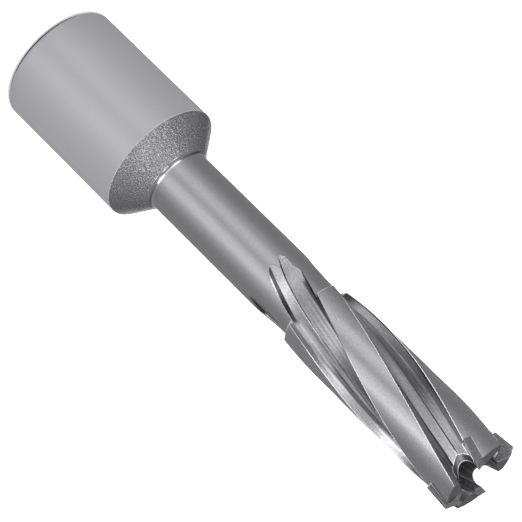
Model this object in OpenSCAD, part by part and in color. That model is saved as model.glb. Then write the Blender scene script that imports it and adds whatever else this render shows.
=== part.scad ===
// Annular cutter: a plain drive shank, a cone, a slim neck and a fluted hollow crown
// with carbide tips. It stands on the end of its shank, and the axis is +Z towards the tips.
// All sizes are millimetres and degrees.

/* [Shank] */
// diameter of the plain drive shank
shank_d = 19.05; // [17:0.05:22]
// length of the cylinder of the shank
shank_len = 23.1; // [21:0.1:30]
// chamfer round the end of the shank
shank_chamfer = 0.6; // [0.3:0.1:1.2]
// depth of the two drive flats below the cylinder
flat_depth = 1; // [0.6:0.1:1.4]
// length of the drive flats along the shank
flat_len = 10; // [7:0.5:12]
// distance from the end of the shank to the drive flats
flat_from_end = 8; // [5:0.5:8.5]

/* [Neck] */
// length of the cone from the shank to the neck
cone_len = 3.9; // [3:0.1:5]
// diameter of the neck
neck_d = 10; // [9.6:0.05:10.4]
// radius of the fillet where the cone runs into the neck
neck_fillet = 0.8; // [0.3:0.1:1.4]

/* [Crown] */
// length from the end of the shank to the highest point of the cutting edges
total_len = 89.5; // [86:0.1:98]
// length of the crown from its shoulder to the cutting edges
crown_len = 33.2; // [31:0.1:36]
// length of the shoulder cone from the neck to the crown
shoulder_len = 0.6; // [0.3:0.1:1.5]
// diameter of the lands just above the shoulder
crown_d_back = 11.5; // [11.2:0.05:11.6]
// diameter of the lands at the front
crown_d_front = 11.75; // [11.6:0.05:11.9]
// set-back of the land ends behind the cutting edges
land_setback = 0.5; // [0.5:0.05:0.9]
// relief slope of the land ends
land_relief = 3; // [2:0.5:6]

/* [Bore] */
// diameter of the pilot bore through the shank
pilot_d = 6.4; // [6.3:0.05:6.5]
// diameter of the slug chamber in the crown and neck
slug_d = 6.75; // [6.55:0.05:6.9]
// depth of the slug chamber from the cutting edges
slug_depth = 53; // [45:0.5:55]
// chamfer at the mouth of the pilot bore
bore_chamfer = 0.5; // [0.2:0.1:0.8]

/* [Flutes] */
// diameter at the deepest corners of the flute floors
floor_d = 8.65; // [8.4:0.05:8.8]
// diameter at the foot of the lead wall of a flute
lead_floor_d = 8.9; // [8.8:0.05:9.1]
// length of the run-out of the flutes on the neck
runout_len = 8.2; // [6:0.1:10]
// turn of the flutes along the crown in degrees for each millimetre
flute_rate = 3.2; // [3:0.05:3.4]
// width of a flute at the front in degrees
flute_width = 39.6; // [38:0.1:42]

/* [Tips] */
// diameter over the corners of the tips
tip_d = 12.4; // [12.2:0.05:12.6]
// thickness of a tip
tip_thick = 1.05; // [0.9:0.05:1.2]
// length of a tip from its seat to the cutting edge
tip_len = 4.4; // [4.2:0.1:4.8]
// diameter between the inner sides of the tips
tip_inner_d = 6.4; // [6.4:0.05:6.5]
// lean of the tips to the axis
tip_lean = 17.5; // [15:0.5:19]
// diameter of the circle of the peaks of the cutting edges
peak_d = 9.3; // [9:0.1:9.8]
// slope of the cutting edge outwards from its peak
edge_out = 20; // [15:1:22]
// slope of the cutting edge inwards from its peak
edge_in = 22; // [14:1:24]
// relief slope behind the cutting edge
edge_relief = 10; // [8:1:14]
// relief slope of the outer side of a tip
side_relief = 6; // [4:1:9]

/* [Gullets] */
// radius of the round bottom of a gullet
gullet_r = 1.55; // [1.45:0.05:1.6]
// depth of a gullet at the flute floor, from the cutting edges
gullet_depth = 3.3; // [3.2:0.05:3.7]
// slope of the bottom of a gullet
gullet_slope = 38; // [30:1:42]

/* [Hidden] */
$fn = 96;
tooth_count = 4;
tooth_pitch = 360 / tooth_count;
tooth_turn = 82;
flat_turn = 60;
shank_r = shank_d / 2;
neck_r = neck_d / 2;
floor_r = floor_d / 2;
lead_floor_r = lead_floor_d / 2;
lead_runout = 0.56 * runout_len;
land_r = crown_d_front / 2;
neck_z = shank_len + cone_len;
crown_z = total_len - crown_len;
slug_z = total_len - slug_depth;
land_z = total_len - land_setback;
steel = [0.56, 0.57, 0.59];
carbide = [0.36, 0.37, 0.39];

// Outline of the turned steel body, radius against height.
module turned_outline() {
  cone_x = shank_r - neck_r;
  cone_side = sqrt(cone_x * cone_x + cone_len * cone_len);
  out_x = cone_len / cone_side;
  out_z = cone_x / cone_side;
  fillet_z = neck_z + neck_fillet * (1 - out_x) / out_z;
  polygon([
    [pilot_d / 2 + bore_chamfer, 0],
    [shank_r - shank_chamfer, 0],
    [shank_r, shank_chamfer],
    [shank_r, shank_len],
    [neck_r, neck_z],
    [neck_r, crown_z - shoulder_len],
    [crown_d_back / 2, crown_z],
    [land_r, land_z],
    [slug_d / 2, land_z],
    [slug_d / 2, slug_z],
    [pilot_d / 2, slug_z],
    [pilot_d / 2, bore_chamfer]
  ]);
  difference() {
    polygon([
      [neck_r - 0.4, neck_z - 0.2],
      [neck_r + neck_fillet * (1 - out_x), fillet_z - neck_fillet * out_z],
      [neck_r + neck_fillet, fillet_z],
      [neck_r, fillet_z],
      [neck_r - 0.4, fillet_z]
    ]);
    translate([neck_r + neck_fillet, fillet_z])
      circle(r = neck_fillet);
  }
}

// Angles of a flute at height z, counted from its tooth: the lead wall, the step between the
// two floors, the foot of the trailing wall and the top of the trailing wall at the land.
function below(z) = max(crown_z - z, 0);
function lead_at(z) = 2 - flute_rate * (total_len - z);
function along(z) = total_len - max(z, crown_z);
function step_at(z) = lead_at(z + below(z)) + 12.8 + 0.548 * along(z)
  - 2.8 * below(z) - 0.15 * below(z) * below(z);
function foot_at(z) = lead_at(z + below(z)) + flute_width - 10.9 + 0.744 * along(z) - 4.5 * below(z);
function top_at(z) = lead_at(z + below(z)) + flute_width + 0.33 * along(z)
  + 0.0063 * along(z) * along(z) - 1.6 * below(z);

// Radius of the deepest corners at height z: level in the crown, rising out of the neck above it.
function deep_at(z) = floor_r + (neck_r - floor_r) * pow(below(z) / runout_len, 2);
function lead_foot_at(z) =
  min(lead_floor_r + (neck_r - lead_floor_r) * pow(below(z) / lead_runout, 2), neck_r + 0.4);
function polar(r, a) = [r * cos(a), r * sin(a)];

// Section of a flute at height z: two flat floors with a low step between them, a radial wall
// on the lead side and a leaning wall on the trailing side.
function flute_section(z) =
  let (
    r = deep_at(z),
    foot = polar(r, foot_at(z)),
    top = polar(land_r, top_at(z)),
    reach = (8 - r) / (land_r - r)
  )
  [
    polar(8, lead_at(z)),
    polar(lead_foot_at(z), lead_at(z)),
    polar(r, step_at(z) - 1.2),
    polar(r / cos(foot_at(z) - step_at(z)), step_at(z) + 1.2),
    foot,
    foot + reach * (top - foot)
  ];

// The space of one flute, from its run-out on the neck to beyond the tips.
module flute_space() {
  z0 = crown_z - runout_len - 0.6;
  z1 = total_len + 1.4;
  steps = 64;
  points = [
    for (k = [0:steps])
      let (z = z0 + (z1 - z0) * k / steps)
        for (p = flute_section(z)) [p[0], p[1], z]
  ];
  sides = [
    for (k = [0:steps - 1])
      for (i = [0:5])
        let (a = 6 * k + i, b = 6 * k + (i + 1) % 6)
          for (f = [[a, b, b + 6], [a, b + 6, a + 6]]) f
  ];
  faces = concat([[5, 4, 3, 2, 1, 0]], sides, [[for (i = [0:5]) 6 * steps + i]]);
  polyhedron(points = points, faces = faces, convexity = 8);
}

// Frame of one tooth: x outwards along its cutting edge, y forwards, the peak circle at z = 0.
module at_tooth(n) {
  rotate([0, 0, tooth_turn + n * tooth_pitch])
    translate([0, 0, total_len])
      children();
}

// The seat that a tip fills, open outwards, upwards and into the slug chamber.
module tip_seat() {
  rotate([-tip_lean, 0, 0])
    translate([1.5, -tip_thick, -tip_len])
      cube([8, tip_thick, tip_len + 3]);
}

// The clear space ground in front of a tip above the flute floor.
module tip_front() {
  rotate([-tip_lean, 0, 0])
    translate([lead_floor_r, -0.1, -tip_len])
      cube([8, 0.9, tip_len + 3]);
}

// The round-bottomed gullet in front of a tip, sloping towards the slug chamber.
module gullet() {
  rotate([-tip_lean, 0, 0])
    translate([floor_r, gullet_r - 0.05, -gullet_depth])
      rotate([0, gullet_slope, 0])
        translate([0, 0, gullet_r]) {
          rotate([0, 90, 0])
            translate([0, 0, -5.2])
              cylinder(r = gullet_r, h = 10.2);
          translate([-5.2, -gullet_r, 0])
            cube([10.2, 2 * gullet_r, 8]);
        }
}

// The relief ground on the end of the land behind a tip.
module land_end_cut() {
  translate([0, 0, -land_setback])
    rotate([land_relief, 0, 0])
      translate([0, -tip_thick * sin(land_relief), 0])
        linear_extrude(height = 4)
          polygon([
            [0, 0],
            polar(12, -68),
            polar(14, -45),
            polar(14, 0),
            polar(12, 22)
          ]);
}

// A drive flat on the back of the shank.
module drive_flat(a) {
  rotate([0, 0, a])
    translate([shank_r - flat_depth, -shank_r, flat_from_end])
      cube([shank_r, shank_d, flat_len]);
}

// The one-piece steel body.
module cutter_body() {
  color(steel)
    difference() {
      rotate_extrude()
        turned_outline();
      drive_flat(flat_turn);
      drive_flat(flat_turn + 90);
      for (n = [0:tooth_count - 1]) {
        rotate([0, 0, tooth_turn + n * tooth_pitch])
          flute_space();
        at_tooth(n) {
          gullet();
          tip_seat();
          tip_front();
          land_end_cut();
        }
      }
    }
}

// One carbide tip: a leaning block with a ground outer side and a roof-shaped cutting edge.
module carbide_tip(n) {
  color(carbide)
    at_tooth(n)
      difference() {
        rotate([-tip_lean, 0, 0])
          translate([tip_inner_d / 2, -tip_thick, -tip_len])
            cube([4, tip_thick, tip_len + 1]);
        translate([tip_d / 2, 0, 0])
          rotate([0, 0, -side_relief])
            translate([0, -6, -8])
              cube([6, 12, 12]);
        translate([peak_d / 2, 0, 0])
          rotate([edge_relief + 90, 0, 0])
            linear_extrude(height = 12, center = true)
              polygon([
                [0, 0],
                [6, -6 * tan(edge_out)],
                [6, 6],
                [-6, 6],
                [-6, -6 * tan(edge_in)]
              ]);
      }
}

module carbide_tip_1() {
  carbide_tip(2);
}

module carbide_tip_2() {
  carbide_tip(3);
}

module carbide_tip_3() {
  carbide_tip(0);
}

module carbide_tip_4() {
  carbide_tip(1);
}

cutter_body();
carbide_tip_1();
carbide_tip_2();
carbide_tip_3();
carbide_tip_4();
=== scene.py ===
from math import cos, radians, sin
from types import SimpleNamespace

import bmesh
import bpy
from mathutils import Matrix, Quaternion, Vector
from mathutils.kdtree import KDTree


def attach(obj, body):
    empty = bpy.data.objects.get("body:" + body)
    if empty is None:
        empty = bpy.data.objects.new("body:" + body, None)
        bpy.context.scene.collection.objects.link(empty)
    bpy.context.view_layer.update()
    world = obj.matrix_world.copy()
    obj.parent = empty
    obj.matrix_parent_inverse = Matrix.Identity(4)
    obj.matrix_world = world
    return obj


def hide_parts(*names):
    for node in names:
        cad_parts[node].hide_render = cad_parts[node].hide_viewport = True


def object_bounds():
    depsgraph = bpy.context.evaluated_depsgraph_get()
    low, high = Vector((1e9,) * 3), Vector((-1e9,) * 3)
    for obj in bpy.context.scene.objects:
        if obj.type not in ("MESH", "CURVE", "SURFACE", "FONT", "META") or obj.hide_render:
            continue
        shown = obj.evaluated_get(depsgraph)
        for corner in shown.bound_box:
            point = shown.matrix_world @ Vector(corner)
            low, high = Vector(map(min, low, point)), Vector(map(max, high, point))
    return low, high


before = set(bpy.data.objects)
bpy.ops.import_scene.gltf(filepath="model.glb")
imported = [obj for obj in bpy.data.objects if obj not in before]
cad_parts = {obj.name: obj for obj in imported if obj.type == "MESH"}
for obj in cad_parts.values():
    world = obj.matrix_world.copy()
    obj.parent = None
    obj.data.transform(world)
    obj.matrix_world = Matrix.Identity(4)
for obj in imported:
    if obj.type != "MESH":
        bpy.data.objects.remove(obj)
cad_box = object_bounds()

# The cutter body: one bar of hardened tool steel, turned to a plain shank, a cone, a slim neck and
# a crown, with four right-hand flutes milled along the crown and run out on the neck.
# The shank, neck and lands are ground, and every edge left by the milling is lightly broken.
MM = 0.001
SHANK_RADIUS = cad_box[1][0]
SHANK_CHAMFER = 0.6 * MM
SHANK_END = 23.1 * MM
CONE_END = 27.0 * MM
NECK_RADIUS = 5.0 * MM
CROWN_START = 56.0 * MM
SHOULDER_HALF = 0.3 * MM
LAND_START_RADIUS = 5.75 * MM
LAND_END_RADIUS = 5.875 * MM
TIP_OVERHANG = 0.5 * MM
LAND_END = cad_box[1][2] - TIP_OVERHANG
CHAMBER_RADIUS = 3.375 * MM
CHAMBER_START = 36.5 * MM
PILOT_RADIUS = 3.2 * MM
PILOT_CHAMFER = 0.5 * MM
TURNED_OUTLINE = [
    (SHANK_RADIUS - SHANK_CHAMFER, 0.0),
    (SHANK_RADIUS, SHANK_CHAMFER),
    (SHANK_RADIUS, SHANK_END),
    (NECK_RADIUS, CONE_END),
    (NECK_RADIUS, CROWN_START - SHOULDER_HALF),
    (LAND_START_RADIUS, CROWN_START + SHOULDER_HALF),
    (LAND_END_RADIUS, LAND_END),
]
BORE_OUTLINE = [
    (CHAMBER_RADIUS, LAND_END),
    (CHAMBER_RADIUS, CHAMBER_START),
    (PILOT_RADIUS, CHAMBER_START),
    (PILOT_RADIUS, PILOT_CHAMFER),
    (PILOT_RADIUS + PILOT_CHAMFER, 0.0),
]
MERGE_DISTANCE = 0.002 * MM
SHARP_EDGE = radians(14)


def merged_copy(node_name, piece_name):
    """A copy of a CAD node with its loose triangles joined, smooth except over sharp edges."""
    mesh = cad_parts[node_name].data.copy()
    mesh.name = piece_name
    bm = bmesh.new()
    bm.from_mesh(mesh)
    bmesh.ops.remove_doubles(bm, verts=bm.verts, dist=MERGE_DISTANCE)
    bm.to_mesh(mesh)
    bm.free()
    mesh.materials.clear()
    mesh.shade_smooth()
    mesh.set_sharp_from_angle(angle=SHARP_EDGE)
    piece = bpy.data.objects.new(piece_name, mesh)
    bpy.context.scene.collection.objects.link(piece)
    return piece


# The CAD mesh is flat triangles. Its corner normals are set as on the real surfaces: those of a
# turned face follow the outline, and those of a milled face are averaged over its near neighbours.
OUTLINE_TOLERANCE = 0.012 * MM
OUTLINE_OVERRUN = 0.02 * MM
SAME_WAY = 0.98
SLIVER_SHARE = 0.012
SAMPLE_SPACING = 0.5 * MM
SMOOTHING_REACH = 1.8 * MM
SAME_SURFACE = cos(radians(17))
OWN_WEIGHT = 0.01


def turned_lines():
    """The straight lines of the outlines: start, end, direction and outward normal, as (radius, height)."""
    lines = []
    for outline in (TURNED_OUTLINE, BORE_OUTLINE):
        for start, end in zip(outline, outline[1:]):
            along = (Vector(end) - Vector(start)).normalized()
            lines.append((Vector(start), Vector(end), along, Vector((along.y, -along.x))))
    return lines


def spun(flat_normal, point):
    """A normal given as (outward, upward), turned about the axis to a point."""
    spoke = Vector((point.x, point.y, 0)).normalized()
    return spoke * flat_normal.x + Vector((0, 0, flat_normal.y))


def turned_normal(triangle, normal, lines):
    """The outward normal of the outline's line that a face lies on, or None for a milled face."""
    middle = sum(triangle, Vector()) / len(triangle)
    for start, end, along, out in lines:
        flat = [Vector((point.xy.length, point.z)) - start for point in triangle]
        if max(abs(place.dot(out)) for place in flat) > OUTLINE_TOLERANCE:
            continue
        reach = [place.dot(along) for place in flat]
        longest = (end - start).length + OUTLINE_OVERRUN
        if min(reach) < -OUTLINE_OVERRUN or max(reach) > longest:
            continue
        if normal.dot(spun(out, middle)) > SAME_WAY:
            return out
    return None


def face_normals(mesh, points):
    """The normal of each face. A sliver takes its largest neighbour's, because its own is unsure."""
    beside_edge = {}
    for face in mesh.polygons:
        for key in face.edge_keys:
            beside_edge.setdefault(key, []).append(face)
    normals = []
    for face in mesh.polygons:
        longest = max((points[a] - points[b]).length for a, b in face.edge_keys)
        source = face
        if 2 * face.area < SLIVER_SHARE * longest * longest:
            around = [other for key in face.edge_keys for other in beside_edge[key]]
            source = max((other for other in around if other.index != face.index), key=lambda f: f.area)
        normals.append(source.normal.copy())
    return normals


def even_samples(triangle):
    """Points spread evenly over a triangle, about one for each quarter of a square millimetre."""
    first, second, third = triangle
    longest = max((second - first).length, (third - second).length, (first - third).length)
    parts = max(1, round(longest / SAMPLE_SPACING))
    places = []
    for row in range(parts):
        for column in range(parts - row):
            across = (second - first) * ((row + 1 / 3) / parts)
            up = (third - first) * ((column + 1 / 3) / parts)
            places.append(first + across + up)
    return places


def milled_samples(triangles, turned):
    """A search tree of points spread over the milled faces, and the number of each point's face."""
    places = []
    owners = []
    for number, triangle in enumerate(triangles):
        if turned[number] is None:
            spread = even_samples(triangle)
            places += spread
            owners += [number] * len(spread)
    search = KDTree(len(places))
    for index, place in enumerate(places):
        search.insert(place, index)
    search.balance()
    return search, owners


def exact_normals(mesh):
    """Sets the corner normals of the body's mesh as on the real turned and milled surfaces."""
    points = [vertex.co.copy() for vertex in mesh.vertices]
    triangles = [[points[i] for i in face.vertices] for face in mesh.polygons]
    normals = face_normals(mesh, points)
    lines = turned_lines()
    turned = [turned_normal(triangle, normal, lines) for triangle, normal in zip(triangles, normals)]
    search, owners = milled_samples(triangles, turned)
    corners = []
    for triangle, normal, out in zip(triangles, normals, turned):
        for point in triangle:
            if out is not None:
                corners.append(spun(out, point))
                continue
            total = normal * OWN_WEIGHT
            for place, index, distance in search.find_range(point, SMOOTHING_REACH):
                near = normals[owners[index]]
                if near.dot(normal) > SAME_SURFACE:
                    total += near * (1 - distance / SMOOTHING_REACH)
            corners.append(total.normalized())
    mesh.normals_split_custom_set(corners)


# The nodes that both materials are built from, and the three effects that they share as groups:
# the grain of a machined surface, the rounding of an edge with the strip along it (where the body's edge
# highlights and shade are painted), and the way that a surface faces.
MIX_SOCKETS = {"FLOAT": (2, 3, 0), "VECTOR": (4, 5, 1), "RGBA": (6, 7, 2)}
GRAIN_DETAIL = 0.6
GRAIN_ROUGHNESS = 0.6
NOISE_MIDDLE = 0.5
BEVEL_SAMPLES = 8
ROUNDED_STRIP = (0.99, 0.96)
AXIS = (0, 0, 1)


def feed(tree, source, socket):
    """Links a source to a socket, or sets the socket where the source is a plain value."""
    if isinstance(source, bpy.types.NodeSocket):
        tree.links.new(source, socket)
    else:
        socket.default_value = source


def calculation(tree, operation, *sources):
    """The result of a Math node."""
    node = tree.nodes.new("ShaderNodeMath")
    node.operation = operation
    for source, socket in zip(sources, node.inputs):
        feed(tree, source, socket)
    return node.outputs[0]


def vector_calculation(tree, operation, output, *sources):
    """The named output of a Vector Math node."""
    node = tree.nodes.new("ShaderNodeVectorMath")
    node.operation = operation
    for source, socket in zip(sources, node.inputs):
        feed(tree, source, socket)
    return node.outputs[output]


def scaled(tree, colour, factor):
    """A colour times a factor."""
    node = tree.nodes.new("ShaderNodeVectorMath")
    node.operation = "SCALE"
    tree.links.new(colour, node.inputs[0])
    tree.links.new(factor, node.inputs["Scale"])
    return node.outputs["Vector"]


def noise(tree, place, scale, detail, roughness=0.5):
    """A noise texture, about 0.5."""
    texture = tree.nodes.new("ShaderNodeTexNoise")
    tree.links.new(place, texture.inputs["Vector"])
    feed(tree, scale, texture.inputs["Scale"])
    texture.inputs["Detail"].default_value = detail
    texture.inputs["Roughness"].default_value = roughness
    return texture.outputs["Fac"]


def fade(tree, value, limits):
    """A mask that goes smoothly from 0 at the first limit to 1 at the second."""
    mask = tree.nodes.new("ShaderNodeMapRange")
    mask.interpolation_type = "SMOOTHSTEP"
    mask.inputs["From Min"].default_value = limits[0]
    mask.inputs["From Max"].default_value = limits[1]
    tree.links.new(value, mask.inputs["Value"])
    return mask.outputs["Result"]


def overlap(tree, first, *others):
    """The product of masks."""
    for other in others:
        first = calculation(tree, "MULTIPLY", first, other)
    return first


def band(tree, value, limits):
    """A mask that is 1 between the two inner limits and 0 beyond the two outer ones."""
    start, full_start, full_end, end = limits
    return overlap(tree, fade(tree, value, (start, full_start)), fade(tree, value, (end, full_end)))


def ramp(tree, value, start, end):
    """A straight line from the start to the end, each given as (value, result), and level beyond."""
    line = tree.nodes.new("ShaderNodeMapRange")
    line.inputs["From Min"].default_value = start[0]
    line.inputs["From Max"].default_value = end[0]
    line.inputs["To Min"].default_value = start[1]
    line.inputs["To Max"].default_value = end[1]
    tree.links.new(value, line.inputs["Value"])
    return line.outputs["Result"]


def mixed(tree, kind, under, over, mask):
    """One value, vector or colour laid over another where the mask is 1."""
    under_socket, over_socket, result = MIX_SOCKETS[kind]
    mix = tree.nodes.new("ShaderNodeMix")
    mix.data_type = kind
    tree.links.new(mask, mix.inputs[0])
    feed(tree, under, mix.inputs[under_socket])
    feed(tree, over, mix.inputs[over_socket])
    return mix.outputs[result]


def bumped(tree, normal, height, strength, distance):
    """A normal bent by a height."""
    bump = tree.nodes.new("ShaderNodeBump")
    feed(tree, strength, bump.inputs["Strength"])
    bump.inputs["Distance"].default_value = distance
    tree.links.new(height, bump.inputs["Height"])
    tree.links.new(normal, bump.inputs["Normal"])
    return bump.outputs["Normal"]


def empty_group(name, inputs, outputs):
    """A shader node group with named sockets: the group, what it is given and what it puts out."""
    group = bpy.data.node_groups.new(name, "ShaderNodeTree")
    for side, sockets in (("INPUT", inputs), ("OUTPUT", outputs)):
        for socket_name, kind in sockets:
            group.interface.new_socket(socket_name, in_out=side, socket_type=kind)
    given = group.nodes.new("NodeGroupInput")
    result = group.nodes.new("NodeGroupOutput")
    return group, given.outputs, result.inputs


def placed(tree, group, **sources):
    """The outputs of a node group that is placed in a material and fed with its own values."""
    node = tree.nodes.new("ShaderNodeGroup")
    node.node_tree = group
    for name, source in sources.items():
        feed(tree, source, node.inputs[name])
    return node.outputs


def grain_group():
    """Fine speckle of a machined surface: a tone about 1 for the colour and a height for the bump."""
    inputs = [("Vector", "NodeSocketVector"), ("Scale", "NodeSocketFloat"), ("Depth", "NodeSocketFloat")]
    outputs = [("Tone", "NodeSocketFloat"), ("Height", "NodeSocketFloat")]
    group, given, result = empty_group("machined_grain", inputs, outputs)
    speckle = noise(group, given["Vector"], given["Scale"], GRAIN_DETAIL, GRAIN_ROUGHNESS)
    centred = calculation(group, "SUBTRACT", speckle, NOISE_MIDDLE)
    tone = calculation(group, "MULTIPLY_ADD", centred, given["Depth"], 1.0)
    group.links.new(tone, result["Tone"])
    group.links.new(speckle, result["Height"])
    return group


def rounded_edge_group():
    """Sharp edges rounded over a width: the rounded normal and a mask of the strip along them."""
    inputs = [("Width", "NodeSocketFloat")]
    outputs = [("Normal", "NodeSocketVector"), ("Strip", "NodeSocketFloat")]
    group, given, result = empty_group("rounded_edge", inputs, outputs)
    bevel = group.nodes.new("ShaderNodeBevel")
    bevel.samples = BEVEL_SAMPLES
    group.links.new(given["Width"], bevel.inputs["Radius"])
    rounded = bevel.outputs["Normal"]
    normal = group.nodes.new("ShaderNodeNewGeometry").outputs["Normal"]
    strip = fade(group, vector_calculation(group, "DOT_PRODUCT", "Value", rounded, normal), ROUNDED_STRIP)
    group.links.new(mixed(group, "VECTOR", normal, rounded, strip), result["Normal"])
    group.links.new(strip, result["Strip"])
    return group


def facing_group():
    """How far a surface faces the way the cutter turns: 1 on a lead wall, -1 on a trailing wall."""
    inputs = [("Vector", "NodeSocketVector"), ("Normal", "NodeSocketVector")]
    outputs = [("Facing", "NodeSocketFloat")]
    group, given, result = empty_group("way_of_turning", inputs, outputs)
    forward = vector_calculation(group, "CROSS_PRODUCT", "Vector", AXIS, given["Vector"])
    ahead = vector_calculation(group, "NORMALIZE", "Vector", forward)
    facing = vector_calculation(group, "DOT_PRODUCT", "Value", ahead, given["Normal"])
    group.links.new(facing, result["Facing"])
    return group


machined_grain = grain_group()
rounded_edge = rounded_edge_group()
way_of_turning = facing_group()


# The zones of the body's steel, as limits of height, radius, angle in a flute's pitch and way of
# facing. A mask is 0 at the first limit and 1 at the second; a band has two inner and two outer limits.
RUNOUT_START = 46.0 * MM
MIDDLE_START = 64.0 * MM
MIDDLE_END = 76.5 * MM
GULLET_START = 85.0 * MM
FLOOR_RADIUS = 4.325 * MM
FLUTE_TWIST = radians(2.7) / MM
FLUTE_PITCH = radians(90)
EDGE_BREAK = 0.16 * MM


def beside(base, *offsets):
    """Limits given in millimetres from a height or a radius of the body."""
    return tuple(base + offset * MM for offset in offsets)


def in_radians(*angles):
    """Limits given in degrees."""
    return tuple(radians(angle) for angle in angles)


CONE_LIMITS = beside(SHANK_END, -0.03, 0.03)
NECK_LIMITS = beside(CONE_END, -0.2, 0.2)
CROWN_LIMITS = beside(CROWN_START, -0.5, 0.5)
CHAMFER_LIMITS = beside(SHANK_CHAMFER, 0.0, -0.05)
FILLET_BAND = beside(CONE_END, -0.35, -0.25, 0.4, 0.5)
SHOULDER_BAND = beside(CROWN_START, -0.35, -0.25, 0.25, 0.35)
SHOULDER_RADII = beside(NECK_RADIUS, 0.0, 0.05)
BORE_RADII = beside(CHAMBER_RADIUS, 0.065, 0.025)
LAND_END_LIMITS = beside(LAND_END, -0.8, -0.6)
FACING_UP = (0.9, 0.97)
NECK_CUT_RADII = beside(NECK_RADIUS, -0.02, -0.05)
CROWN_CUT_RADII = beside(LAND_START_RADIUS, -0.03, -0.07)


def surface_reading(tree):
    """What the zones are found from: the place, the normals and the way that a surface faces."""
    place = tree.nodes.new("ShaderNodeTexCoord").outputs["Object"]
    split = tree.nodes.new("ShaderNodeSeparateXYZ")
    tree.links.new(place, split.inputs[0])
    height = split.outputs["Z"]
    spoke = vector_calculation(tree, "MULTIPLY", "Vector", place, (1, 1, 0))
    normal = tree.nodes.new("ShaderNodeNewGeometry").outputs["Normal"]
    upward = tree.nodes.new("ShaderNodeSeparateXYZ")
    tree.links.new(normal, upward.inputs[0])
    edge = placed(tree, rounded_edge, Width=EDGE_BREAK)
    angle = calculation(tree, "ARCTAN2", split.outputs["Y"], split.outputs["X"])
    untwisted = calculation(tree, "MULTIPLY_ADD", height, -FLUTE_TWIST, angle)
    return SimpleNamespace(
        place=place,
        height=height,
        radius=vector_calculation(tree, "LENGTH", "Value", spoke),
        upward=upward.outputs["Z"],
        facing=placed(tree, way_of_turning, Vector=place, Normal=normal)["Facing"],
        leaning=placed(tree, way_of_turning, Vector=place, Normal=edge["Normal"])["Facing"],
        edge_normal=edge["Normal"],
        edge_strip=edge["Strip"],
        pitch_angle=calculation(tree, "FLOORED_MODULO", untwisted, FLUTE_PITCH),
    )


def turned_zones(tree, at):
    """Masks of the turned surfaces, and of the floors that are milled into the neck and the crown."""
    neck = fade(tree, at.height, NECK_LIMITS)
    crown = fade(tree, at.height, CROWN_LIMITS)
    neck_floor = overlap(tree, neck, fade(tree, at.radius, NECK_CUT_RADII))
    crown_floor = overlap(tree, crown, fade(tree, at.radius, CROWN_CUT_RADII))
    shoulder = band(tree, at.height, SHOULDER_BAND)
    land_end = fade(tree, at.height, LAND_END_LIMITS)
    return {
        "cone": fade(tree, at.height, CONE_LIMITS),
        "neck": neck,
        "crown": crown,
        "neck_floor": neck_floor,
        "crown_floor": crown_floor,
        "floors": mixed(tree, "FLOAT", neck_floor, 1.0, crown_floor),
        "milled": fade(tree, at.height, beside(RUNOUT_START, 0.0, 1.0)),
        "chamfer": fade(tree, at.height, CHAMFER_LIMITS),
        "fillet": band(tree, at.height, FILLET_BAND),
        "shoulder": overlap(tree, shoulder, fade(tree, at.radius, SHOULDER_RADII)),
        "land_end": overlap(tree, land_end, fade(tree, at.upward, FACING_UP)),
        "bore": fade(tree, at.radius, BORE_RADII),
    }


LEADING = (0.6, 0.8)
TRAILING = (-0.5, -0.7)
NOT_TRAILING = (-0.7, -0.5)
FACING_OUT = (0.5, 0.3)
LEAD_START_LIMITS = beside(MIDDLE_END, 0.0, -6.0)
LEAD_RUNOUT_LIMITS = beside(CROWN_START, 4.0, 1.0)
LEAD_STRIP_RADII = beside(LAND_START_RADIUS, -0.3, -0.1)
MIDDLE_START_LIMITS = beside(MIDDLE_START, -2.0, 2.0)
MIDDLE_END_LIMITS = beside(MIDDLE_END, 2.5, -2.5)
MIDDLE_LEFT_OVER = 0.2
CORNER_LIMITS = beside(MIDDLE_START, -1.0, 2.0)
CORNER_RADII = beside(FLOOR_RADIUS, 0.455, 0.295)
CORNER_FLOOR_RADII = beside(FLOOR_RADIUS, 0.07, 0.01)
CORNER_FLOOR_SHARE = 0.5


def flute_zones(tree, at, zones):
    """Masks of the flutes along the crown: lead walls with a painted highlight near their start and painted
    shade at their run-out and outer edge, and painted shade on the middle of the floors and in their
    corners.
    """
    lead_wall = overlap(tree, fade(tree, at.facing, LEADING), zones["milled"])
    middle_end = fade(tree, at.height, MIDDLE_END_LIMITS)
    middle = overlap(
        tree,
        fade(tree, at.height, MIDDLE_START_LIMITS),
        mixed(tree, "FLOAT", MIDDLE_LEFT_OVER, 1.0, middle_end),
    )
    sideways = calculation(tree, "ABSOLUTE", at.facing)
    corner_wall = overlap(
        tree,
        fade(tree, at.facing, TRAILING),
        fade(tree, at.radius, CORNER_RADII),
        fade(tree, at.height, CORNER_LIMITS),
    )
    corner_floor = overlap(
        tree,
        fade(tree, at.radius, CORNER_FLOOR_RADII),
        middle,
        fade(tree, at.facing, NOT_TRAILING),
    )
    return {
        "lead_wall": lead_wall,
        "lead_start": overlap(tree, lead_wall, fade(tree, at.height, LEAD_START_LIMITS)),
        "lead_runout": overlap(tree, lead_wall, fade(tree, at.height, LEAD_RUNOUT_LIMITS)),
        "lead_strip": overlap(tree, lead_wall, fade(tree, at.radius, LEAD_STRIP_RADII)),
        "middle_floor": overlap(tree, middle, fade(tree, sideways, FACING_OUT), zones["crown_floor"]),
        "corner": mixed(tree, "FLOAT", corner_wall, CORNER_FLOOR_SHARE, corner_floor),
    }


NOT_LEADING = (0.8, 0.6)
STEP_FACING = (-0.45, -0.6)
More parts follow.
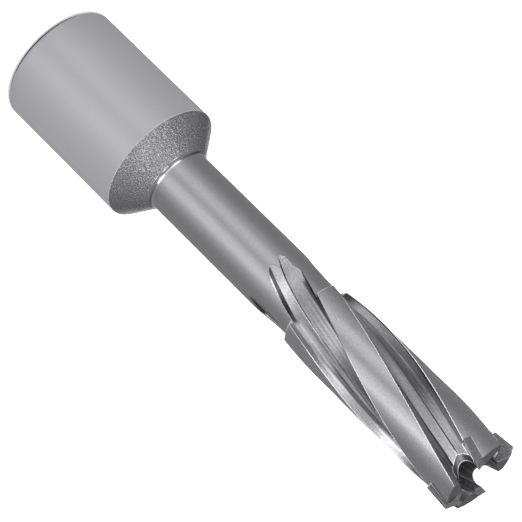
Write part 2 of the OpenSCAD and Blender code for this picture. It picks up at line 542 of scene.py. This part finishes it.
# The step and the foot of the trailing wall follow straight lines of (height, angle in the pitch).
STEP_LINE = ((CROWN_START - 6.0 * MM, radians(31.0)), (CROWN_START, radians(37.8)))
FOOT_LINE = ((CROWN_START - 7.5 * MM, radians(44.5)), (CROWN_START, radians(58.5)))
PAST_STEP = in_radians(-0.6, 0.4)
FIRST_FLOOR_LIMITS = beside(CROWN_START, 7.0, 1.5)
FIRST_FLOOR_RADII = beside(NECK_RADIUS, 0.1, -0.05)
NEAR_STEP = in_radians(4.0, 3.0)
STEP_LIMITS = beside(CROWN_START, 6.0, 3.0)
STEP_START_LIMITS = beside(CROWN_START, -4.6, -5.2)
TRAIL_WALL_BAND = in_radians(-0.8, 0.6, 5.4, 6.6)
TRAIL_WALL_LIMITS = beside(CROWN_START, 1.0, 0.0)
LEAD_CORNER_ANGLES = in_radians(12.0, 8.5)
LEAD_CORNER_RADII = beside(NECK_RADIUS, 0.0, -0.2)
LEAD_CORNER_BAND = beside(CROWN_START, -3.5, -2.5, 6.0, 10.0)


def runout_zones(tree, at, zones):
    """Masks of the run-outs for painted light: a highlight on the first floor and on the step to the
    second, and shade at the step's start, on the trailing wall and in a corner.
    """
    from_step = calculation(tree, "SUBTRACT", at.pitch_angle, ramp(tree, at.height, *STEP_LINE))
    from_foot = calculation(tree, "SUBTRACT", at.pitch_angle, ramp(tree, at.height, *FOOT_LINE))
    floor_step = overlap(
        tree,
        fade(tree, at.facing, STEP_FACING),
        zones["floors"],
        fade(tree, from_step, NEAR_STEP),
        fade(tree, at.height, STEP_LIMITS),
    )
    return {
        "first_floor": overlap(
            tree,
            fade(tree, from_step, PAST_STEP),
            zones["floors"],
            fade(tree, at.height, FIRST_FLOOR_LIMITS),
            fade(tree, at.radius, FIRST_FLOOR_RADII),
        ),
        "floor_step": floor_step,
        "step_start": overlap(tree, floor_step, fade(tree, at.height, STEP_START_LIMITS)),
        "trail_wall": overlap(
            tree,
            band(tree, from_foot, TRAIL_WALL_BAND),
            zones["neck_floor"],
            fade(tree, at.height, TRAIL_WALL_LIMITS),
        ),
        "lead_corner": overlap(
            tree,
            fade(tree, at.pitch_angle, LEAD_CORNER_ANGLES),
            zones["floors"],
            fade(tree, at.facing, NOT_LEADING),
            fade(tree, at.radius, LEAD_CORNER_RADII),
            band(tree, at.height, LEAD_CORNER_BAND),
        ),
    }


LEANING_AHEAD = (0.02, 0.15)
DARK_EDGE_LIMITS = beside(CROWN_START, 11.0, 7.0)
NOT_DARK = (0.5, 0.1)
LAND_EDGE_RADII = beside(LAND_START_RADIUS, -0.07, -0.03)
LAND_EDGE_LIMITS = beside(CROWN_START, 2.0, 5.0)
GULLET_LIMITS = beside(GULLET_START, 0.0, 0.4)
EDGE_END_LIMITS = beside(LAND_END, -0.8, -1.2)
RIM_BAND = beside(SHANK_END, -0.2, -0.1, 0.1, 0.2)
RIM_SHARE = 0.5


def edge_zones(tree, at, zones):
    """Masks of the broken edges: a painted highlight along the lands, gullets and rim, and painted shade
    where a flute starts.
    """
    on_land = overlap(
        tree,
        fade(tree, at.radius, LAND_EDGE_RADII),
        fade(tree, at.height, LAND_EDGE_LIMITS),
    )
    on_gullet = fade(tree, at.height, GULLET_LIMITS)
    edge_shade = overlap(
        tree,
        fade(tree, at.leaning, LEANING_AHEAD),
        at.edge_strip,
        zones["milled"],
        fade(tree, at.height, DARK_EDGE_LIMITS),
    )
    land_edge = overlap(
        tree,
        at.edge_strip,
        mixed(tree, "FLOAT", on_land, 1.0, on_gullet),
        fade(tree, at.height, EDGE_END_LIMITS),
        fade(tree, edge_shade, NOT_DARK),
    )
    rim = overlap(tree, band(tree, at.height, RIM_BAND), at.edge_strip)
    return {
        "edge_shade": edge_shade,
        "edge_highlight": mixed(tree, "FLOAT", land_edge, RIM_SHARE, rim),
    }


# The steel's colours and values, each list in the order in which its zones lie over each other.
# Greys of painted shade, from light to deep, for the corners, walls, ends and edge lines where shade falls.
STRIP_SHADE_GREY = (0.15, 0.151, 0.154, 1)
SHADE_GREY = (0.09, 0.091, 0.093, 1)
DEEP_SHADE_GREY = (0.06, 0.06, 0.062, 1)
STEEL_COLOURS = [
    ("shank", (0.352, 0.35, 0.368, 1)),
    ("cone", (0.55, 0.555, 0.565, 1)),
    ("neck", (0.45, 0.453, 0.462, 1)),
    ("crown", (0.48, 0.485, 0.497, 1)),
    ("neck_floor", (0.35, 0.353, 0.36, 1)),
    ("crown_floor", (0.43, 0.435, 0.444, 1)),
    # Painted shade: the middle stretch of the crown's floors, darker than their ends.
    ("middle_floor", (0.30, 0.303, 0.31, 1)),
    ("lead_wall", (0.42, 0.425, 0.434, 1)),
    # Painted highlight: the lead walls near their start, pale; painted shade where they run out on the
    # neck.
    ("lead_start", (0.86, 0.865, 0.875, 1)),
    ("lead_runout", STRIP_SHADE_GREY),
    # Painted light on the run-outs: a highlight on the first floor and on the step, and painted shade at
    # the step's start, on the trailing wall and beside the lead wall.
    ("first_floor", (0.60, 0.605, 0.615, 1)),
    ("floor_step", (0.90, 0.905, 0.915, 1)),
    ("step_start", DEEP_SHADE_GREY),
    ("trail_wall", SHADE_GREY),
    ("lead_corner", SHADE_GREY),
    ("shoulder", (0.40, 0.402, 0.41, 1)),
    # Painted shade: the shank's end chamfer, as a dark rim line.
    ("chamfer", DEEP_SHADE_GREY),
    # Painted shade: the flutes' inner corners and the outer edge of the lead walls.
    ("corner", STRIP_SHADE_GREY),
    ("lead_strip", STRIP_SHADE_GREY),
    # Painted shade: the land ends behind the tips.
    ("land_end", STRIP_SHADE_GREY),
    # Painted highlight: the fillet between cone and neck, lighter as a bright line.
    ("fillet", (0.62, 0.62, 0.63, 1)),
    # Painted highlight: near-white strips along the broken edges of the lands, gullets and rim; painted
    # shade: a dark line along the edges where a flute starts.
    ("edge_highlight", (0.97, 0.97, 0.98, 1)),
    ("edge_shade", DEEP_SHADE_GREY),
    ("bore", (0.45, 0.45, 0.45, 1)),
]
# The painted edge highlights are not metallic, so their white shows from every side.
METALLIC = [("shank", 0.4), ("cone", 1.0), ("shoulder", 0.3), ("edge_highlight", 0.0)]
ROUGHNESS = [
    ("shank", 0.3),
    ("cone", 0.14),
    ("neck", 0.3),
    ("crown", 0.26),
    ("neck_floor", 0.32),
    ("crown_floor", 0.32),
    ("fillet", 0.2),
    ("edge_highlight", 0.75),
    ("bore", 0.55),
]
GRAIN_SCALE = [("shank", 3600.0), ("cone", 4800.0), ("neck", 3600.0)]
TONE_DEPTH = [
    ("shank", 0.04),
    ("cone", 0.9),
    ("neck", 0.2),
    ("neck_floor", 0.5),
    ("crown_floor", 0.5),
    ("fillet", 0.1),
]
GRAIN_DEPTH = [
    ("shank", 0.004),
    ("cone", 1.0),
    ("neck", 0.02),
    ("crown", 0.03),
    ("neck_floor", 0.15),
    ("crown_floor", 0.15),
    ("fillet", 0.0),
]
STREAK_SHARE = [("shank", 0.0), ("neck_floor", 0.3), ("crown_floor", 1.0)]
GRAIN_HEIGHT = 0.12 * MM
CLOUD_SCALE = 220
CLOUD_DETAIL = 3.0
CLOUD_SPREAD = 0.12
STREAK_STRETCH = (1, 1, 0.03)
STREAK_SCALE = 2600
STREAK_DETAIL = 2.0
STREAK_TONE = ((0.3, 0.75), (0.7, 1.27))
STREAK_HEIGHT = 0.03 * MM


def layered(tree, kind, zones, layers):
    """Colours or values laid over each other in turn, each in its own zone, the shank's under all."""
    under = layers[0][1]
    for name, over in layers[1:]:
        under = mixed(tree, kind, under, over, zones[name])
    return under


def milling_streaks(tree, at):
    """Fine lines that follow the flutes: a noise drawn out along the axis, in space untwisted by height."""
    untwisted = tree.nodes.new("ShaderNodeVectorRotate")
    untwisted.rotation_type = "Z_AXIS"
    tree.links.new(at.place, untwisted.inputs["Vector"])
    tree.links.new(calculation(tree, "MULTIPLY", at.height, -FLUTE_TWIST), untwisted.inputs["Angle"])
    drawn = vector_calculation(tree, "MULTIPLY", "Vector", untwisted.outputs["Vector"], STREAK_STRETCH)
    return noise(tree, drawn, STREAK_SCALE, STREAK_DETAIL)


def body_steel():
    """Ground shank, sparkling cone, smooth neck and lands, milled flutes and a dull bore in one steel, with
    highlights and shade painted into the flutes, along the edges and on the ends.
    """
    material = bpy.data.materials.new("body_steel")
    material.use_nodes = True
    tree = material.node_tree
    shader = tree.nodes["Principled BSDF"]
    at = surface_reading(tree)
    zones = turned_zones(tree, at)
    zones.update(flute_zones(tree, at, zones))
    zones.update(runout_zones(tree, at, zones))
    zones.update(edge_zones(tree, at, zones))

    grain_scale = layered(tree, "FLOAT", zones, GRAIN_SCALE)
    tone_depth = layered(tree, "FLOAT", zones, TONE_DEPTH)
    speckle = placed(tree, machined_grain, Vector=at.place, Scale=grain_scale, Depth=tone_depth)
    streaks = milling_streaks(tree, at)
    streak_share = layered(tree, "FLOAT", zones, STREAK_SHARE)
    streak_tone = mixed(tree, "FLOAT", 1.0, ramp(tree, streaks, *STREAK_TONE), streak_share)
    colour = scaled(tree, layered(tree, "RGBA", zones, STEEL_COLOURS), speckle["Tone"])
    tree.links.new(scaled(tree, colour, streak_tone), shader.inputs["Base Color"])
    tree.links.new(layered(tree, "FLOAT", zones, METALLIC), shader.inputs["Metallic"])

    cloud = noise(tree, at.place, CLOUD_SCALE, CLOUD_DETAIL)
    rough = layered(tree, "FLOAT", zones, ROUGHNESS)
    clouded = calculation(tree, "MULTIPLY_ADD", cloud, CLOUD_SPREAD, rough)
    centred = calculation(tree, "SUBTRACT", clouded, CLOUD_SPREAD * NOISE_MIDDLE)
    tree.links.new(centred, shader.inputs["Roughness"])

    grain_depth = layered(tree, "FLOAT", zones, GRAIN_DEPTH)
    grained = bumped(tree, at.edge_normal, speckle["Height"], grain_depth, GRAIN_HEIGHT)
    ridged = bumped(tree, grained, streaks, streak_share, STREAK_HEIGHT)
    tree.links.new(ridged, shader.inputs["Normal"])
    return material


body = merged_copy("cutter_body", "ground_body")
exact_normals(body.data)
body.data.materials.append(body_steel())
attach(body, "root")
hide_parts("cutter_body")

# The four cutting tips: small blocks of sintered tungsten carbide, brazed into seats milled in the
# crown and then ground on the rake face, the outer side and the roof-shaped cutting edge.
TIP_COUNT = 4
TIP_EDGE_BREAK = 0.03 * MM
FLAT_ANGLE = radians(1)
TIP_EDGE_WIDTH = 0.08 * MM
CARBIDE_METALLIC = 0.5
CARBIDE_GREY = (0.122, 0.123, 0.126, 1)
RAKE_HIGHLIGHT_GREY = (0.21, 0.211, 0.215, 1)
RAKE_FACING = (0.5, 0.7)
TIP_EDGE_GREY = (0.50, 0.50, 0.51, 1)
TIP_GRAIN_SCALE = 4500
TIP_TONE_DEPTH = 1.4
TIP_ROUGHNESS = ((0.0, 0.42), (1.0, 0.58))
TIP_GRAIN_DEPTH = 0.2
TIP_GRAIN_HEIGHT = 0.02 * MM


def ground_carbide():
    """Matt ground carbide with a very fine even speckle, a rake face painted paler as a highlight, and
    paler edges.
    """
    material = bpy.data.materials.new("ground_carbide")
    material.use_nodes = True
    tree = material.node_tree
    shader = tree.nodes["Principled BSDF"]
    shader.inputs["Metallic"].default_value = CARBIDE_METALLIC
    place = tree.nodes.new("ShaderNodeTexCoord").outputs["Object"]
    normal = tree.nodes.new("ShaderNodeNewGeometry").outputs["Normal"]
    speckle = placed(tree, machined_grain, Vector=place, Scale=TIP_GRAIN_SCALE, Depth=TIP_TONE_DEPTH)
    edge = placed(tree, rounded_edge, Width=TIP_EDGE_WIDTH)
    facing = placed(tree, way_of_turning, Vector=place, Normal=normal)["Facing"]
    # The rake faces are painted paler, as a highlight.
    colour = mixed(tree, "RGBA", CARBIDE_GREY, RAKE_HIGHLIGHT_GREY, fade(tree, facing, RAKE_FACING))
    colour = mixed(tree, "RGBA", colour, TIP_EDGE_GREY, edge["Strip"])
    tree.links.new(scaled(tree, colour, speckle["Tone"]), shader.inputs["Base Color"])
    tree.links.new(ramp(tree, speckle["Height"], *TIP_ROUGHNESS), shader.inputs["Roughness"])
    grained = bumped(tree, edge["Normal"], speckle["Height"], TIP_GRAIN_DEPTH, TIP_GRAIN_HEIGHT)
    tree.links.new(grained, shader.inputs["Normal"])
    return material


def ground_tip(number, material):
    """One tip with its edges broken by a small bevel."""
    node_name = "carbide_tip_%d" % number
    tip = merged_copy(node_name, "ground_tip_%d" % number)
    bm = bmesh.new()
    bm.from_mesh(tip.data)
    bmesh.ops.dissolve_limit(bm, angle_limit=FLAT_ANGLE, verts=bm.verts, edges=bm.edges)
    sharp = [edge for edge in bm.edges if edge.calc_face_angle(0.0) > SHARP_EDGE]
    bmesh.ops.bevel(bm, geom=sharp, affect="EDGES", offset=TIP_EDGE_BREAK, offset_type="OFFSET", segments=2,
                    profile=0.5, material=-1, clamp_overlap=True)
    bm.to_mesh(tip.data)
    bm.free()
    tip.data.set_sharp_from_angle(angle=SHARP_EDGE)
    tip.data.materials.append(material)
    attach(tip, "root")
    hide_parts(node_name)


carbide = ground_carbide()
for number in range(1, TIP_COUNT + 1):
    ground_tip(number, carbide)

# The studio: a plain pale floor under the standing cutter, an overhead panel that lights the floor,
# and a soft surround that the steel mirrors, made of round lights and darker patches.
FLOOR_SIZE = 6.0
FLOOR_WHITE = (0.90, 0.90, 0.90, 1)
FLOOR_ROUGHNESS = 0.9
FLOOR_GLOW = 0.45
WHITE = (1, 1, 1, 1)
PANEL_HEIGHT = 1.2
PANEL_SIZE = 1.6
PANEL_POWER = 26.0

floor_mesh = bpy.data.meshes.new("pale_floor")
bm = bmesh.new()
bmesh.ops.create_grid(bm, x_segments=1, y_segments=1, size=FLOOR_SIZE / 2)
bm.to_mesh(floor_mesh)
bm.free()
floor = bpy.data.objects.new("pale_floor", floor_mesh)
bpy.context.scene.collection.objects.link(floor)
floor.visible_glossy = False
floor_paint = bpy.data.materials.new("floor_paint")
floor_paint.use_nodes = True
floor_shader = floor_paint.node_tree.nodes["Principled BSDF"]
floor_shader.inputs["Base Color"].default_value = FLOOR_WHITE
floor_shader.inputs["Roughness"].default_value = FLOOR_ROUGHNESS
floor_shader.inputs["Specular IOR Level"].default_value = 0.0
floor_shader.inputs["Emission Color"].default_value = WHITE
floor_shader.inputs["Emission Strength"].default_value = FLOOR_GLOW
floor_mesh.materials.append(floor_paint)

panel_data = bpy.data.lights.new("overhead_panel", "AREA")
panel_data.shape = "SQUARE"
panel_data.size = PANEL_SIZE
panel_data.energy = PANEL_POWER
panel = bpy.data.objects.new("overhead_panel", panel_data)
panel.location = (0, 0, PANEL_HEIGHT)
panel.visible_glossy = False
bpy.context.scene.collection.objects.link(panel)

# The surround is dim at the horizon and brighter below and above it. Each of its lights is given as
# turn and rise of its middle, the angles where it is full and where it ends, and its strength.
# Turn is counted about the axis from -X, with 90 towards the camera, and all angles are in degrees.
HORIZON_LIGHT = 0.13
TABLE_LIGHT = 0.33
TABLE_RISES = (-2, -16)
UPPER_LIGHT = 0.17
UPPER_RISES = (6, 22)
SURROUND_TINT = (0.985, 0.968, 1.0, 1)
SURROUND_LIGHTS = [
    # Low in front: the two long highlights of the shank and the neck, and the darker gap between them.
    (62, -21, 2, 22, 0.30),
    (62, -21, 5, 50, 0.26),
    (88, -21, 2, 16, -0.27),
    (113, -21, 2, 23, 0.42),
    (116, -21, 5, 50, 0.28),
    # Low at the sides and behind: darker flanks, and a highlight along the back.
    (198, -18, 10, 36, -0.06),
    (238, -20, 4, 20, -0.11),
    (290, -20, 5, 21, -0.14),
    (270, -17, 3, 17, 0.40),
    (335, -18, 10, 40, -0.09),
    # Level in front: the walls and steps of the flutes.
    (57, 3, 3, 20, 2.2),
    (88, 4, 3, 18, 0.8),
    (124, 3, 4, 20, 4.8),
    # High up: the sparkle of the cone, and what else faces upwards.
    (90, 50, 4, 14, 1.2),
    (20, 66, 1, 8, 3.0),
    (90, 78, 1, 8, 1.7),
    (160, 66, 1, 8, 2.7),
    (90, 86, 22, 54, 0.08),
    # High behind: the ends of the tips.
    (268, 30, 6, 34, 0.15),
    # Straight below: a dark foot.
    (90, -90, 15, 48, -0.36),
]

surround = bpy.data.worlds.new("studio_surround")
surround.use_nodes = True
bpy.context.scene.world = surround
sky = surround.node_tree
sky.nodes.clear()
direction = sky.nodes.new("ShaderNodeTexCoord").outputs["Generated"]
sky_split = sky.nodes.new("ShaderNodeSeparateXYZ")
sky.links.new(direction, sky_split.inputs[0])


def toward(turn, rise):
    """The unit direction of a turn and a rise in degrees."""
    level = cos(radians(rise))
    return Vector((-cos(radians(turn)) * level, -sin(radians(turn)) * level, sin(radians(rise))))


light = HORIZON_LIGHT
for strength, rises in ((TABLE_LIGHT, TABLE_RISES), (UPPER_LIGHT, UPPER_RISES)):
    mask = fade(sky, sky_split.outputs["Z"], [sin(radians(rise)) for rise in rises])
    light = calculation(sky, "MULTIPLY_ADD", mask, strength, light)
for turn, rise, full, end, strength in SURROUND_LIGHTS:
    nearness = vector_calculation(sky, "DOT_PRODUCT", "Value", direction, toward(turn, rise))
    mask = fade(sky, nearness, (cos(radians(end)), cos(radians(full))))
    light = calculation(sky, "MULTIPLY_ADD", mask, strength, light)
reflected = sky.nodes.new("ShaderNodeBackground")
reflected.inputs["Color"].default_value = SURROUND_TINT
sky.links.new(light, reflected.inputs["Strength"])
backdrop = sky.nodes.new("ShaderNodeBackground")
backdrop.inputs["Color"].default_value = WHITE
chosen = sky.nodes.new("ShaderNodeMixShader")
sky.links.new(sky.nodes.new("ShaderNodeLightPath").outputs["Is Camera Ray"], chosen.inputs[0])
sky.links.new(reflected.outputs[0], chosen.inputs[1])
sky.links.new(backdrop.outputs[0], chosen.inputs[2])
surface = sky.nodes.new("ShaderNodeOutputWorld")
sky.links.new(chosen.outputs[0], surface.inputs["Surface"])
bpy.context.scene.view_settings.view_transform = "Standard"

# The camera stands in front of the cutter and above it, with a long lens, and is rolled so that the
# shank points to the upper left of the picture and the tips to the lower right.
LENS_PIXELS = 2600
PICTURE_PIXELS = 522
SENSOR = 36.0
NEAREST = 0.01
FARTHEST = 50
CAMERA_PLACE = Vector((0.0, -330.99, 186.34)) * MM
CAMERA_AIM = Vector((-0.12, 0.0, 44.73)) * MM
CAMERA_ROLL = radians(134.61)

camera_data = bpy.data.cameras.new("photo_camera")
camera_data.sensor_width = SENSOR
camera_data.lens = SENSOR * LENS_PIXELS / PICTURE_PIXELS
camera_data.clip_start = NEAREST
camera_data.clip_end = FARTHEST
camera = bpy.data.objects.new("photo_camera", camera_data)
camera.location = CAMERA_PLACE
camera.rotation_mode = "QUATERNION"
look = (CAMERA_AIM - CAMERA_PLACE).to_track_quat("-Z", "Y")
camera.rotation_quaternion = look @ Quaternion((0, 0, 1), CAMERA_ROLL)
bpy.context.scene.collection.objects.link(camera)
bpy.context.scene.camera = camera
